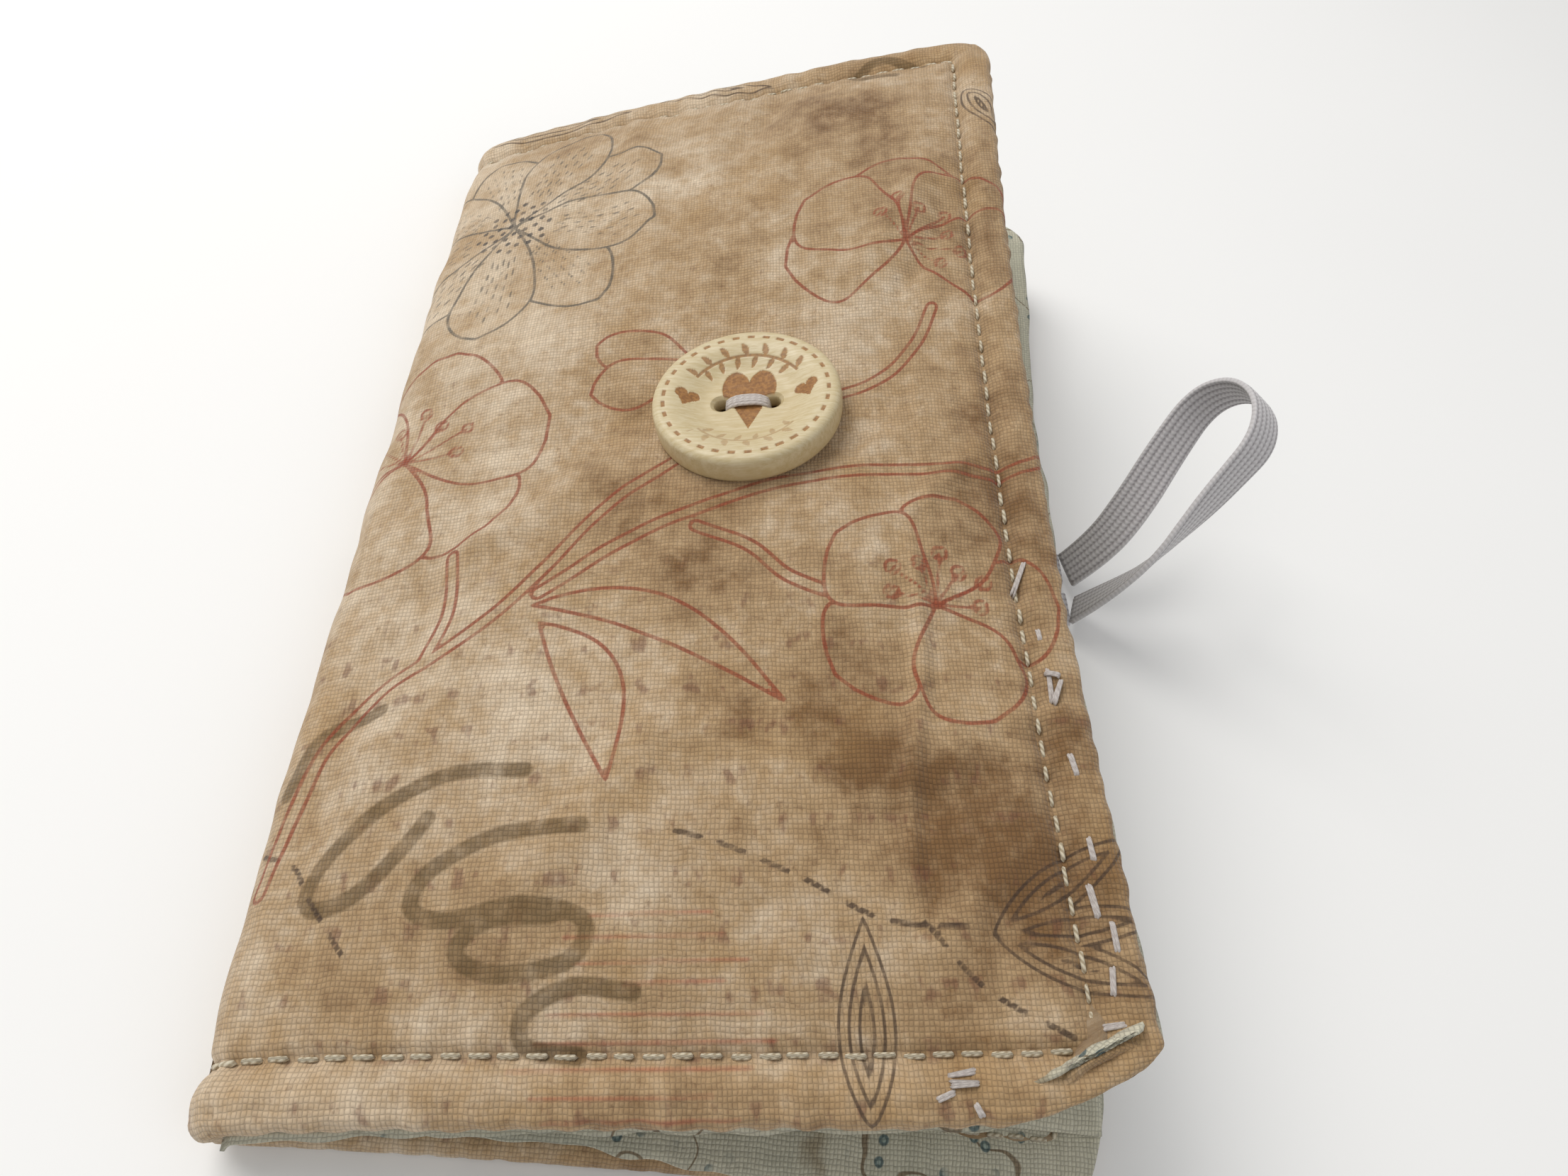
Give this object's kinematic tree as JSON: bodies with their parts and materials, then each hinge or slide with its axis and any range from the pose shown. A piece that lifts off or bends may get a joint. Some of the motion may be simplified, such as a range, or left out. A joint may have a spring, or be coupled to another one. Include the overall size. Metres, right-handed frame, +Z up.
{
  "type": "needle case",
  "caption": "Folded padded cloth needle case with felt leaves and a pocket, closed by a wooden button and an elastic loop.",
  "frame": {"origin": "centre of the underside of the box round the covers, spine and button, where the back cover rests", "axes": "+X from the spine to the free edges, +Y along the spine away from the near end, +Z up"},
  "size_m": [0.1001, 0.136, 0.033],
  "materials": {
    "printed_cotton": "plain weave cotton, matt, mottled tan with line-drawn flowers",
    "mint_cotton": "plain weave cotton, matt, pale mint with small blue flowers",
    "wadding": "soft cotton wadding",
    "felt": "wool felt, matt",
    "sewing_thread": "spun polyester thread, slight sheen",
    "elastic": "ribbed braided elastic, slight sheen",
    "boxwood": "smooth pale wood, satin"
  },
  "bodies": {
    "back_cover": {"back_outer_fabric": "printed_cotton", "back_wadding": "wadding", "back_lining": "mint_cotton", "back_pocket": "mint_cotton", "back_topstitching": "sewing_thread", "elastic_tails": "elastic"},
    "spine": {"spine_outer_fabric": "printed_cotton", "spine_wadding": "wadding", "spine_lining": "mint_cotton", "page_stitching": "sewing_thread"},
    "front_cover": {"front_outer_fabric": "printed_cotton", "front_wadding": "wadding", "front_lining": "mint_cotton", "front_topstitching": "sewing_thread", "hand_repair_stitches": "sewing_thread", "button_thread": "sewing_thread"},
    "lower_page": {"felt_page_back": "felt"},
    "upper_page": {"felt_page_front": "felt"},
    "button": {"button": "boxwood"},
    "loop": {"elastic_loop": "elastic"}
  },
  "joints": [
    {"name": "spine_fold", "type": "hinge", "parent": "back_cover", "child": "spine", "pos_m": [-0.03818, 0, 0.003], "axis": [0, -1, 0], "range_deg": [-6.25, 74]},
    {"name": "front_fold", "type": "hinge", "parent": "spine", "child": "front_cover", "pos_m": [-0.03885, 0, 0.00745], "axis": [0, -1, 0], "range_deg": [-6.25, 74]},
    {"name": "lower_page_turn", "type": "hinge", "parent": "spine", "child": "lower_page", "pos_m": [-0.03838, 0, 0.00429], "axis": [0, -1, 0], "range_deg": [-25, 3]},
    {"name": "upper_page_turn", "type": "hinge", "parent": "spine", "child": "upper_page", "pos_m": [-0.03866, 0, 0.00617], "axis": [0, -1, 0], "range_deg": [-3, 25]},
    {"name": "button_tilt", "type": "hinge", "parent": "front_cover", "child": "button", "pos_m": [-0.00303, 0, 0.02541], "axis": [0.9563, 0, 0.2924], "range_deg": [-4, 4]},
    {"name": "loop_swing", "type": "hinge", "parent": "back_cover", "child": "loop", "pos_m": [0.04262, 0, 0.00215], "axis": [0, -1, 0], "range_deg": [-56, 26]}
  ],
  "couplings": [
    {"joint": "front_fold", "follows": "spine_fold", "ratio": 1},
    {"joint": "lower_page_turn", "follows": "spine_fold", "ratio": -0.33333},
    {"joint": "upper_page_turn", "follows": "spine_fold", "ratio": 0.33333}
  ]
}
